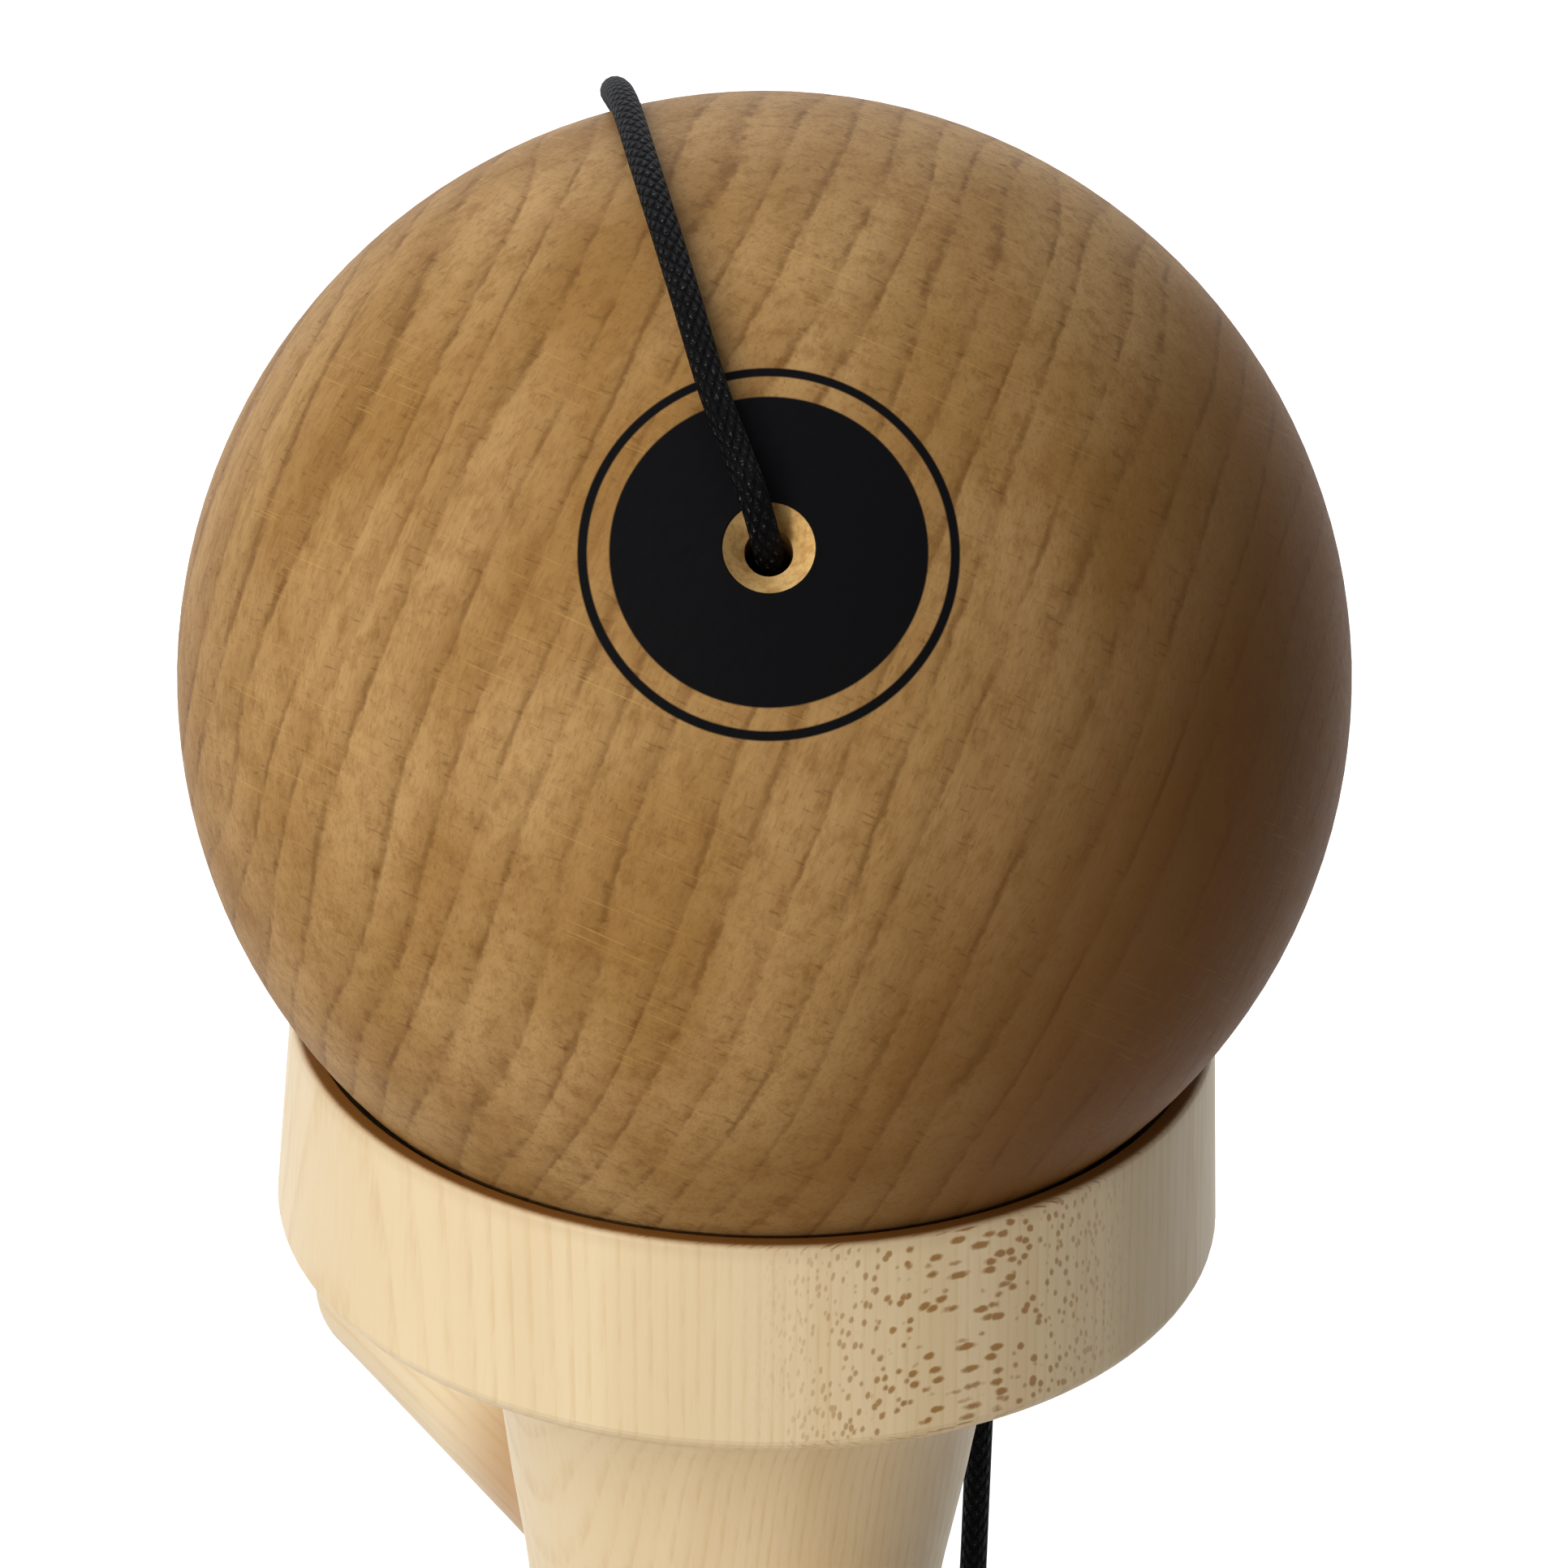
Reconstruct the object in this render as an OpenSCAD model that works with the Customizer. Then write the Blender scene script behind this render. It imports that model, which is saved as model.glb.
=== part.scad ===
// Cup and ball toy of turned wood: a handle with a spike and a base cup, a crosspiece with
// a big and a small cup pushed over the spike, and a drilled ball tied to them by a string.
// It stands on the small cup's rim with the ball resting in the big cup. Millimetres, +Z up.
// The crosspiece's axis is Z, and the handle lies along Y with its spike at +Y.

/* [Ball] */
// Diameter of the ball
ball_d = 60; // [58:0.5:62]
// Diameter of the hole that the spike enters
spike_hole_d = 16.8; // [15.6:0.2:18]
// Diameter of the bevelled mouth of the spike hole
spike_hole_mouth_d = 23; // [21:0.5:25]
// Depth of the spike hole, from the ball's surface
spike_hole_depth = 42; // [38:0.5:42.5]
// Diameter of the pocket beyond the spike hole, where the bead sits
bead_pocket_d = 8.4; // [7.6:0.2:10]
// Depth of the bead's pocket
bead_pocket_depth = 10; // [9.6:0.2:12]
// Diameter of the string hole
string_hole_d = 2.4; // [2.2:0.1:2.8]
// Diameter of the string hole's countersunk mouth
string_hole_mouth_d = 4.65; // [4:0.05:6]
// Turn of the string hole about the upright axis, from straight to the front
ball_turn = -31; // [-34:1:-28]
// Height of the string hole above the ball's equator, in degrees
ball_tilt = 40.3; // [38:0.1:42]

/* [Crosspiece] */
// Height of the crosspiece, from rim to rim
crosspiece_h = 70; // [67:0.5:74]
// Diameter of the waist, where the handle passes through
waist_d = 21.6; // [20.6:0.2:23]
// Outer diameter of the big cup at its rim
big_rim_d = 48; // [46:0.2:49]
// Outer diameter of the big cup at its lower edge
big_edge_d = 49.1; // [48:0.1:51]
// Height of the big cup's outer wall
big_wall_h = 11.7; // [10:0.1:13]
// Width of the flat ring on the big cup's rim
big_lip_w = 0.6; // [0.4:0.1:1.2]
// Depth of the big cup's hollow
big_depth = 12; // [11.6:0.2:13]
// Diameter of the neck below the big cup
big_neck_d = 24.8; // [23:0.2:28]
// Outer diameter of the small cup at its rim
small_rim_d = 40.4; // [39:0.2:41]
// Outer diameter of the small cup at its upper edge
small_edge_d = 41; // [40:0.2:41.4]
// Height of the small cup's outer wall
small_wall_h = 10; // [8:0.5:11]
// Width of the flat ring on the small cup's rim
small_lip_w = 0.6; // [0.4:0.1:1.4]
// Depth of the small cup's hollow
small_depth = 9; // [7:0.5:10]
// Diameter of the neck above the small cup
small_neck_d = 24.4; // [23:0.2:26]

/* [Handle] */
// Length from the crosspiece's axis to the base cup's rim
grip_l = 98; // [92:1:104]
// Length from the crosspiece's axis to the spike's tip
spike_l = 42; // [39:1:46]
// Diameter of the spike just before its rounded tip
tip_d = 9.2; // [8:0.2:10]
// Diameter of the tapered seat at the crosspiece's axis
seat_d = 11; // [10.6:0.1:12]
// How much the seat narrows across the crosspiece
seat_taper = 1; // [0.6:0.1:1.4]
// Largest diameter of the grip, near the crosspiece
grip_d = 19.4; // [18:0.2:21]
// Smallest diameter of the grip, ahead of the base cup
wrist_d = 17.4; // [16:0.2:18]
// Outer diameter of the base cup at its rim
base_rim_d = 42.6; // [40:0.2:44]
// Outer diameter of the base cup at its other edge
base_edge_d = 43.4; // [41:0.2:45]
// Height of the base cup's outer wall
base_wall_h = 9.5; // [8:0.5:11]
// Width of the flat ring on the base cup's rim
base_lip_w = 0.6; // [0.4:0.1:1.4]
// Depth of the base cup's hollow
base_depth = 8; // [6:0.5:9]
// Diameter of the pocket for the string's knot, in the handle
knot_pocket_d = 5; // [4.6:0.1:5.6]
// Depth of that pocket
knot_pocket_depth = 5; // [4.6:0.1:6]

/* [String] */
// Diameter of the braided string
string_d = 1.5; // [1.4:0.05:1.6]
// Diameter of the bead that holds the string in the ball
bead_d = 6.4; // [6:0.1:7]
// Diameter of the knots at the string's ends
knot_d = 3.8; // [3.4:0.1:4.2]
// Middle diameter of the coil in which the spare string is put away
coil_d = 16.4; // [15.4:0.2:17.6]
// Width of the band that ties the coil
tie_w = 2.6; // [2:0.2:4]
// Thickness of that band
tie_t = 0.4; // [0.3:0.1:0.6]

/* [Clearances] */
// Gap between the ball and the rim that it rests on
ball_gap = 0.25; // [0.2:0.05:0.3]
// Gap all round between the handle's seat and the crosspiece
seat_gap = 0.03; // [0.01:0.01:0.05]
// Gap between the string and the ball that it lies on
string_gap = 0.25; // [0.2:0.05:0.3]
// Gap between the bead or a knot and its seat
bead_gap = 0.15; // [0.1:0.05:0.2]
// Gap between neighbouring turns of the coil
turn_gap = 0.5; // [0.45:0.05:0.7]
// Gap between the coil and its tie
tie_gap = 0.15; // [0.1:0.05:0.2]

/* [Hidden] */

$fn = 96;
overcut = 1;
// Steps of a long curve in a turned outline, and of a small rounding
curve_steps = 12;
round_steps = 4;

maple = [0.88, 0.78, 0.62];
walnut = [0.62, 0.46, 0.27];
black = [0.09, 0.09, 0.1];

ball_r = ball_d / 2;
string_r = string_d / 2;
waist_r = waist_d / 2;
// The handle passes midway between the bottoms of the two cups
waist_z = (crosspiece_h - big_depth + small_depth) / 2;

// Rounding of the cups' rims, of their other edges, and how steeply their undersides run in
rim_round = 0.3;
edge_round = 0.6;
underside_slope = 0.51;
neck_fillet = 4.1;
// Share of the way from a cup's wall to the waist at which its neck begins
neck_share = 0.54;

big_lip_r = big_rim_d / 2 - rim_round - big_lip_w;
small_lip_r = small_rim_d / 2 - rim_round - small_lip_w;
base_lip_r = base_rim_d / 2 - rim_round - base_lip_w;
ball_z = crosspiece_h + sqrt(pow(ball_r + ball_gap, 2) - pow(big_lip_r, 2));
ball_centre = [0, 0, ball_z];
// The way out of the string hole; the spike hole opens the opposite way
hole_dir = [
    sin(ball_turn) * cos(ball_tilt),
    -cos(ball_turn) * cos(ball_tilt),
    sin(ball_tilt)
];
spike_hole_end = spike_hole_depth - ball_r;
pocket_end = spike_hole_end + bead_pocket_depth;
bead_at = pocket_end - bead_gap - bead_d / 2;
// The bead's hole leaves a flat ring that the knot bears on
bead_flat = sqrt(pow(bead_d, 2) - pow(string_hole_d, 2)) / 2;
ball_knot_top = bead_at - bead_flat - bead_gap;

function unit(v) = v / norm(v);

// Points of a cubic curve from a to d, without a itself
function curve(a, b, c, d, steps) = [
    for (i = [1 : steps])
        let (t = i / steps, s = 1 - t)
        s * s * s * a + 3 * s * s * t * b + 3 * s * t * t * c + t * t * t * d
];

// A small rounding from a to c, with its corner at b
function rounding(a, b, c) = curve(a, (a + b) / 2, (b + c) / 2, c, round_steps);

// Outline of a cup's wall from its rim at height 0, as radius and height
function cup_wall(rim_r, edge_r, wall_h) =
    let (drop = [-edge_round, edge_round * underside_slope])
    concat(
        [[rim_r - rim_round, 0]],
        rounding([rim_r - rim_round, 0], [rim_r, 0], [rim_r, rim_round]),
        [[edge_r, wall_h - edge_round]],
        rounding([edge_r, wall_h - edge_round], [edge_r, wall_h], [edge_r, wall_h] + drop)
    );

// Radius of the sphere that hollows a cup of this inner rim radius and depth
function dish_r(lip_r, depth) = (lip_r * lip_r + depth * depth) / (2 * depth);

// A hollow in the end face at z = 0 of a turned piece that lies above it
module dish(lip_r, depth) {
    translate([0, 0, depth - dish_r(lip_r, depth)])
        sphere(r = dish_r(lip_r, depth));
}

// Crosspiece

// One cup's part of the crosspiece's outline, from its rim at height 0 to the waist
function cup_outline(rim_r, edge_r, wall_h, neck_r, waist_h) =
    let (
        inner_r = neck_r + neck_fillet,
        inner = [inner_r, wall_h + (edge_r - inner_r) * underside_slope],
        fillet = neck_fillet * [-1, underside_slope],
        neck = [neck_r, wall_h + (waist_h - wall_h) * neck_share],
        run = waist_h - neck[1]
    )
    concat(
        cup_wall(rim_r, edge_r, wall_h),
        [inner],
        curve(inner, inner + 0.83 * fillet, neck + [0.5, -2.8], neck, curve_steps),
        curve(
            neck,
            neck + [(waist_r - neck_r) * 0.45, run * 0.45],
            [waist_r, waist_h - run * 0.3],
            [waist_r, waist_h],
            curve_steps
        )
    );

function upside_down(points) = [
    for (i = [len(points) - 1 : -1 : 0]) [points[i][0], crosspiece_h - points[i][1]]
];

module cup_crosspiece() {
    upper_h = crosspiece_h - waist_z;
    lower = cup_outline(small_rim_d / 2, small_edge_d / 2, small_wall_h, small_neck_d / 2, waist_z);
    upper = cup_outline(big_rim_d / 2, big_edge_d / 2, big_wall_h, big_neck_d / 2, upper_h);
    above_waist = [for (i = [0 : len(upper) - 2]) upper[i]];
    color(maple)
        difference() {
            rotate_extrude()
                polygon(concat([[0, 0]], lower, upside_down(above_waist), [[0, crosspiece_h]]));
            dish(small_lip_r, small_depth);
            translate([0, 0, crosspiece_h])
                mirror([0, 0, 1])
                    dish(big_lip_r, big_depth);
            along_handle()
                seat_bore();
            string_way();
        }
}

// Handle

// Half the length of the tapered seat, just longer than the crosspiece is thick there
seat_reach = max(big_neck_d, small_neck_d) / 2 + 1;
tip_round = 4.5;
grip_at = 27;
wrist_at = 56;
flare_w = 6.8;

// Puts a shape that runs up Z along the handle's axis, with Z towards the spike
module along_handle() {
    translate([0, 0, waist_z])
        rotate([-90, 0, 0])
            children();
}

// Radius of the handle's seat at a place along its axis
function seat_r(s) = (seat_d - seat_taper * s / waist_d) / 2;

module seat_bore() {
    reach = seat_reach + overcut;
    translate([0, 0, -reach])
        cylinder(r1 = seat_r(-reach) + seat_gap, r2 = seat_r(reach) + seat_gap, h = 2 * reach);
}

// The string's hole from the handle's axis out through the waist
module string_way() {
    translate([0, 0, waist_z])
        rotate([0, -90, 0])
            cylinder(d = string_hole_d, h = waist_d);
}

module handle_outline() {
    tip_r = tip_d / 2;
    grip_r = grip_d / 2;
    wrist_r = wrist_d / 2;
    edge_r = base_edge_d / 2;
    base_foot = [0, -grip_l];
    wall = [for (p = cup_wall(base_rim_d / 2, edge_r, base_wall_h)) p + base_foot];
    flare_r = wrist_r + flare_w;
    flare = [flare_r, base_wall_h + (edge_r - flare_r) * underside_slope] + base_foot;
    wrist = [wrist_r, -wrist_at];
    grip = [grip_r, -grip_at];
    seat = [seat_r(-seat_reach), -seat_reach];
    tip = [tip_r, spike_l - tip_round];
    half = (wrist_at - grip_at) / 2;
    polygon(concat(
        [base_foot],
        wall,
        [flare],
        curve(flare, flare + [-4, 4 * underside_slope], wrist - [0, 20], wrist, curve_steps),
        curve(wrist, wrist + [0, half], grip - [0, half], grip, curve_steps),
        curve(grip, grip + [0, 6], seat + [0.5, -4], seat, curve_steps),
        [[seat_r(seat_reach), seat_reach], tip],
        curve(tip, tip + [0, tip_round * 0.55], [tip_r * 0.55, spike_l], [0, spike_l], curve_steps)
    ));
}

// Bottom of the knot's pocket, from the handle's axis
knot_floor = seat_r(0) - knot_pocket_depth;

module handle() {
    color(maple)
        difference() {
            along_handle()
                rotate_extrude()
                    handle_outline();
            along_handle()
                translate([0, 0, -grip_l])
                    dish(base_lip_r, base_depth);
            string_way();
            translate([knot_floor, 0, waist_z])
                rotate([0, 90, 0])
                    cylinder(d = knot_pocket_d, h = waist_d);
            translate([-overcut, 0, waist_z])
                rotate([0, 90, 0])
                    cylinder(d = string_hole_d, h = knot_floor + 2 * overcut);
        }
}

// Ball

// Puts a shape that runs up Z on the axis of the ball's holes, with Z out of the string hole
module on_ball_axis() {
    translate(ball_centre)
        rotate([90 - ball_tilt, 0, ball_turn])
            children();
}

// A mouth cut at 45 degrees where a hole leaves the ball's top
module bevelled_mouth(mouth_r, hole_r) {
    height = ball_r + overcut - sqrt(pow(ball_r, 2) - pow(mouth_r, 2));
    bevel = mouth_r - hole_r;
    translate([0, 0, ball_r + overcut - height - bevel])
        cylinder(r1 = hole_r, r2 = mouth_r + height, h = bevel + height);
}

module ball() {
    color(walnut)
        on_ball_axis()
            difference() {
                sphere(r = ball_r);
                translate([0, 0, -ball_r - overcut])
                    cylinder(d = spike_hole_d, h = spike_hole_depth + overcut);
                mirror([0, 0, 1])
                    bevelled_mouth(spike_hole_mouth_d / 2, spike_hole_d / 2);
                translate([0, 0, spike_hole_end - overcut])
                    cylinder(d = bead_pocket_d, h = bead_pocket_depth + overcut);
                translate([0, 0, pocket_end - overcut])
                    cylinder(d = string_hole_d, h = ball_r);
                bevelled_mouth(string_hole_mouth_d / 2, string_hole_d / 2);
            }
}

module ball_bead() {
    color([0.75, 0.62, 0.42])
        on_ball_axis()
            translate([0, 0, bead_at])
                difference() {
                    sphere(d = bead_d);
                    cylinder(d = string_hole_d, h = bead_d + overcut, center = true);
                }
}

// String

// A knot on the string's end, with its flat face at z = 0 and the rest of it below
module knot() {
    r = knot_d / 2;
    flat = string_r * 1.1;
    deep = knot_d * 0.72;
    middle = [r, -0.5 * deep];
    rotate_extrude()
        polygon(concat(
            [[0, 0], [flat, 0]],
            curve([flat, 0], [r, -0.02 * deep], [r * 1.04, -0.3 * deep], middle, curve_steps),
            curve(middle, [r * 0.94, -0.75 * deep], [r * 0.6, -deep], [0, -deep], curve_steps)
        ));
}

module ball_knot() {
    color(black)
        on_ball_axis()
            translate([0, 0, ball_knot_top])
                knot();
}

handle_knot_x = knot_floor + bead_gap;

module handle_knot() {
    color(black)
        translate([handle_knot_x, 0, waist_z])
            rotate([0, -90, 0])
                knot();
}

// A point of a smooth line between b and c, with neighbours a and d
function between(a, b, c, d, t) =
    let (
        rise = c - a,
        bend = 2 * a - 5 * b + 4 * c - d,
        swing = 3 * b - a - 3 * c + d
    )
    b + 0.5 * (rise * t + bend * t * t + swing * t * t * t);

// Points along a smooth line through the route, about this step apart
function smooth(route, step) =
    let (last = len(route) - 1)
    concat(
        [
            for (i = [0 : last - 1])
                let (
                    before = i > 0 ? route[i - 1] : 2 * route[0] - route[1],
                    after = i < last - 1 ? route[i + 2] : 2 * route[last] - route[last - 1],
                    count = max(1, round(norm(route[i + 1] - route[i]) / step))
                )
                for (j = [0 : count - 1])
                    between(before, route[i], route[i + 1], after, j / count)
        ],
        [route[last]]
    );

// Unit directions of a line at each of its points
function headings(line) =
    let (last = len(line) - 1)
    [for (i = [0 : last]) unit(line[min(i + 1, last)] - line[max(i - 1, 0)])];

function turned_to(side, heading) = unit(side - (side * heading) * heading);

// Sideways directions carried along a line without twist
function sides_along(heads, side) = [
    for (
        i = 0, n = turned_to(side, heads[0]);
        i < len(heads);
        i = i + 1, n = i < len(heads) ? turned_to(n, heads[i]) : n
    ) n
];

// A round tube of this many sides along a line of points
module tube(line, sides) {
    heads = headings(line);
    across = sides_along(heads, [0.31, 0.52, 0.8]);
    rings = len(line);
    points = [
        for (i = [0 : rings - 1], k = [0 : sides - 1])
            let (a = 360 * k / sides)
            line[i] + string_r * (cos(a) * across[i] + sin(a) * cross(heads[i], across[i]))
    ];
    walls = [
        for (i = [0 : rings - 2], k = [0 : sides - 1])
            let (a = i * sides + k, b = i * sides + (k + 1) % sides)
            for (face = [[a, a + sides, b], [b, a + sides, b + sides]]) face
    ];
    first = [for (k = [1 : sides - 2]) [0, k, k + 1]];
    end = (rings - 1) * sides;
    last = [for (k = [1 : sides - 2]) [end, end + k + 1, end + k]];
    polyhedron(points = points, faces = concat(walls, first, last), convexity = 6);
}

string_sides = 8;
coil_sides = 6;
string_step = 4.6;
wrap_r = ball_r + string_gap + string_r;

// Over the ball: directions from its centre, to where the string hangs free
over_route = [
    [-12, -16.8, 23.2],
    [-11.7, -13.7, 25.3],
    [-10.3, -8, 28.2],
    [-7.8, -0.2, 30.1],
    [-3.7, 9.5, 29.3],
    [0.4, 17.5, 25.6],
    [4.6, 22.3, 21.3],
    [9.6, 23.7, 17.7],
    [15.1, 23.4, 14],
    [20.1, 21.5, 9.8],
    [23.8, 19.3, 5.4],
    [25.8, 17.3, 1.4]
];
// Out of the string hole: height over the ball's surface, and how far towards the route above
mouth_route = [[-7, 0], [-4.5, 0], [-2.4, 0], [-1.1, 0.2], [0, 0.85], [0.8, 1.8], [1.2, 3]];
lie_dir = unit(over_route[0] - (over_route[0] * hole_dir) * hole_dir);
hang = wrap_r * unit([25.9, 17.1]);
// Where the string over the ball ends and the hanging stretch begins
part_z = ball_z - 9;

function on_ball(route) = [for (p = route) ball_centre + wrap_r * unit(p)];
function in_hole(route) = [
    for (p = route) ball_centre + (ball_r + p[0]) * hole_dir + p[1] * lie_dir
];
// A point beside the hanging stretch, this far from it and at this height
function by_hang(x, y, z) = [hang[0] + x, hang[1] + y, z];

over_line = smooth(
    concat(
        [ball_centre + ball_knot_top * hole_dir],
        in_hole(mouth_route),
        on_ball(over_route),
        [by_hang(0, 0, ball_z - 3), by_hang(0, 0, ball_z - 6), by_hang(0, 0, part_z)]
    ),
    string_step
);

module string_over_ball() {
    color(black)
        tube(over_line, string_sides);
}

// The coil lies on the table behind the toy: in on the lower layer, out on the upper one
coil_low = tie_t + tie_gap + string_r;
coil_pitch = string_d + turn_gap;
turn_rings = 24;
turns_in = 1.25;
turns_up = 0.5;
turns_out = 0.5;
coil_turns = turns_in + turns_up + turns_out;
coil_inside = turns_in + turns_up / 2;
coil_start_r = coil_d / 2 + coil_pitch * coil_inside / 2;
coil_at = [hang[0] - 0.55 - coil_start_r, hang[1] + 12.9];

function coil_r(turn) =
    coil_start_r - coil_pitch * (turn < coil_inside ? turn : 2 * coil_inside - turn);
function coil_z(turn) =
    coil_low + coil_pitch * min(1, max(0, (turn - turns_in) / turns_up));
function coil_point(turn) = [
    coil_at[0] + coil_r(turn) * cos(360 * turn),
    coil_at[1] + coil_r(turn) * sin(360 * turn),
    coil_z(turn)
];

coil_winding = [for (i = [0 : turn_rings * coil_turns]) coil_point(i / turn_rings)];
coil_last = len(coil_winding) - 1;
coil_in_dir = unit(coil_winding[1] - coil_winding[0]);
coil_out_dir = unit(coil_winding[coil_last] - coil_winding[coil_last - 1]);
coil_in = coil_winding[0] - string_d * coil_in_dir;
coil_out = coil_winding[coil_last] + string_d * coil_out_dir;
coil_line = concat([coil_in], coil_winding, [coil_out]);
// Points this many rings apart or more belong to different turns
other_turn = turn_rings / 2;
coil_gap = min([
    for (i = [0 : coil_last - other_turn], j = [i + other_turn : coil_last])
        norm(coil_winding[i] - coil_winding[j])
]) - string_d;
echo(least_gap_in_coil_mm = coil_gap);

module string_coil() {
    color(black)
        tube(coil_line, coil_sides);
}

tie_angle = 45;
tie_corner = 1.2;

// A band round the bundle of turns, where it crosses this angle
module coil_tie() {
    outer_r = coil_r(tie_angle / 360) + string_r + tie_gap + tie_t;
    inner_r = coil_r(1 + tie_angle / 360) - string_r - tie_gap - tie_t;
    wide = outer_r - inner_r;
    high = coil_pitch + string_d + 2 * (tie_gap + tie_t);
    color([0.2, 0.2, 0.22])
        translate([coil_at[0], coil_at[1], 0])
            rotate([90, 0, tie_angle])
                translate([inner_r, 0, -tie_w / 2])
                    linear_extrude(tie_w)
                        difference() {
                            rounded_box(wide, high, tie_corner);
                            translate([tie_t, tie_t])
                                rounded_box(wide - 2 * tie_t, high - 2 * tie_t, tie_corner - tie_t);
                        }
}

module rounded_box(w, h, r) {
    translate([r, 0])
        square([w - 2 * r, h]);
    translate([0, r])
        square([w, h - 2 * r]);
    for (x = [r, w - r], y = [r, h - r])
        translate([x, y])
            circle(r = r, $fn = 32);
}

// Hanging stretch: down beside the toy and along the table into the coil
fall_line = smooth(
    [
        by_hang(0, 0, part_z),
        by_hang(0, 0, part_z - 4),
        by_hang(0, 0, 60),
        by_hang(0, 0, 44),
        by_hang(0, 0, 28),
        by_hang(0, 0, 16),
        by_hang(0, 0.3, 8.5),
        by_hang(0, 1.5, 4.6),
        by_hang(-0.1, 4.2, 2),
        by_hang(-0.3, 7.4, coil_low),
        coil_in - 1.5 * coil_in_dir,
        coil_in
    ],
    string_step
);

module string_fall() {
    color(black)
        tube(fall_line, string_sides);
}

// From the coil round behind the small cup, up over it and into the waist to the knot
foot_r = small_edge_d / 2;
neck_r = small_neck_d / 2;
floor_z = string_r + 0.1;
rise_line = smooth(
    [
        coil_out,
        coil_out + 2 * coil_out_dir,
        coil_out + [-5.2, -0.3, -0.2],
        coil_out + [-9.7, -1.6, -1.4],
        coil_out + [-15.7, -4.5, -2.4],
        [-8.6, 30.4, floor_z],
        [-15.4, 25, floor_z],
        [-foot_r - 0.6, 18.2, floor_z],
        [-foot_r - 2, 12, floor_z],
        [-foot_r - 2.4, 8, floor_z + 0.6],
        [-foot_r - 2.1, 5.4, 3.9],
        [-foot_r - 1.7, 4.2, small_wall_h - 3.2],
        [-foot_r - 1.2, 3.4, small_wall_h - 0.6],
        [-foot_r - 0.1, 2.7, small_wall_h + 1.6],
        [-foot_r + 1.8, 1.9, small_wall_h + 2.9],
        [-neck_r - 4.6, 1.3, small_wall_h + 4.4],
        [-neck_r - 3.2, 0.8, small_wall_h + 7.2],
        [-neck_r - 2.7, 0.5, waist_z - 12.2],
        [-waist_r - 3.9, 0.2, waist_z - 8.2],
        [-waist_r - 3.8, 0, waist_z - 5],
        [-waist_r - 3.7, 0, waist_z - 3.4],
        [-waist_r - 3.3, 0, waist_z - 2],
        [-waist_r - 2.5, 0, waist_z - 0.9],
        [-waist_r - 1.4, 0, waist_z - 0.2],
        [-waist_r - 0.2, 0, waist_z],
        [-waist_r + 3.3, 0, waist_z],
        [-2, 0, waist_z],
        [handle_knot_x, 0, waist_z]
    ],
    string_step
);

module string_rise() {
    color(black)
        tube(rise_line, string_sides);
}

cup_crosspiece();
handle();
ball();
ball_bead();
ball_knot();
string_over_ball();
string_fall();
string_coil();
coil_tie();
string_rise();
handle_knot();
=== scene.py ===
import math

import bpy
from mathutils import Matrix, Vector


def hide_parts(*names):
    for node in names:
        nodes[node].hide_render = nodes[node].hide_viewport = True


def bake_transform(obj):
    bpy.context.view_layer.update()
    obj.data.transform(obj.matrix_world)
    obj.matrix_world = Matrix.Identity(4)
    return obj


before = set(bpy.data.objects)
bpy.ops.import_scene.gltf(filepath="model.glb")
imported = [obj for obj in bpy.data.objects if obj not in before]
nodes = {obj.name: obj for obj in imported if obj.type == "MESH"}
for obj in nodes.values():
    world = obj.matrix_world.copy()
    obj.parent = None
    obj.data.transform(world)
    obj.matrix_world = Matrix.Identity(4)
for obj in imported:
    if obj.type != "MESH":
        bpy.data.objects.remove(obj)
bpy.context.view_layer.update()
MM = 0.001

# Measures of the solids that the look depends on, in millimetres
BALL_R = 30.0
BALL_C = Vector((0.0, 0.0, 89.5308))
HOLE_TURN, HOLE_RISE = math.radians(-31), math.radians(40.3)
HOLE_DIR = Vector((
    math.sin(HOLE_TURN) * math.cos(HOLE_RISE),
    -math.cos(HOLE_TURN) * math.cos(HOLE_RISE),
    math.sin(HOLE_RISE),
))
STRING_R = 0.75
STRING_GAP = 0.25
WAIST_Z = 33.5
# The big cup: its rim, the foot of its wall, and the outer edge of its flat lip
RIM_Z, BIG_WALL_Z, BIG_LIP_R = 70.0, 58.3, 23.7

# Camera, fitted to the photograph: its angles, and the ball's centre in the image's pixels
AZIMUTH, ELEVATION, ROLL = math.radians(-31), math.radians(28), math.radians(1.95)
DISTANCE = 600 * MM
SENSOR_MM = 36
FOCAL_PX = 14463
IMAGE = 1932
BALL_PIXEL = (942, 836)


def make_camera():
    data = bpy.data.cameras.new("camera")
    data.sensor_width = SENSOR_MM
    data.lens = SENSOR_MM * FOCAL_PX / IMAGE
    data.clip_start = 0.01
    data.clip_end = 20
    cam = bpy.data.objects.new("camera", data)
    bpy.context.scene.collection.objects.link(cam)
    target = BALL_C * MM
    back = Vector((
        math.sin(AZIMUTH) * math.cos(ELEVATION),
        -math.cos(AZIMUTH) * math.cos(ELEVATION),
        math.sin(ELEVATION),
    ))
    right = Vector((0, 0, 1)).cross(back).normalized()
    up = back.cross(right)
    right, up = (
        math.cos(ROLL) * right + math.sin(ROLL) * up,
        math.cos(ROLL) * up - math.sin(ROLL) * right,
    )
    x = (BALL_PIXEL[0] - IMAGE / 2) / FOCAL_PX
    y = (IMAGE / 2 - BALL_PIXEL[1]) / FOCAL_PX
    aim = (back + x * right + y * up).normalized()
    right = (right - right.dot(aim) * aim).normalized()
    up = aim.cross(right)
    turn = Matrix((right, up, aim)).transposed()
    cam.matrix_world = Matrix.Translation(target + back * DISTANCE) @ turn.to_4x4()
    bpy.context.scene.camera = cam


make_camera()

# String

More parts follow.
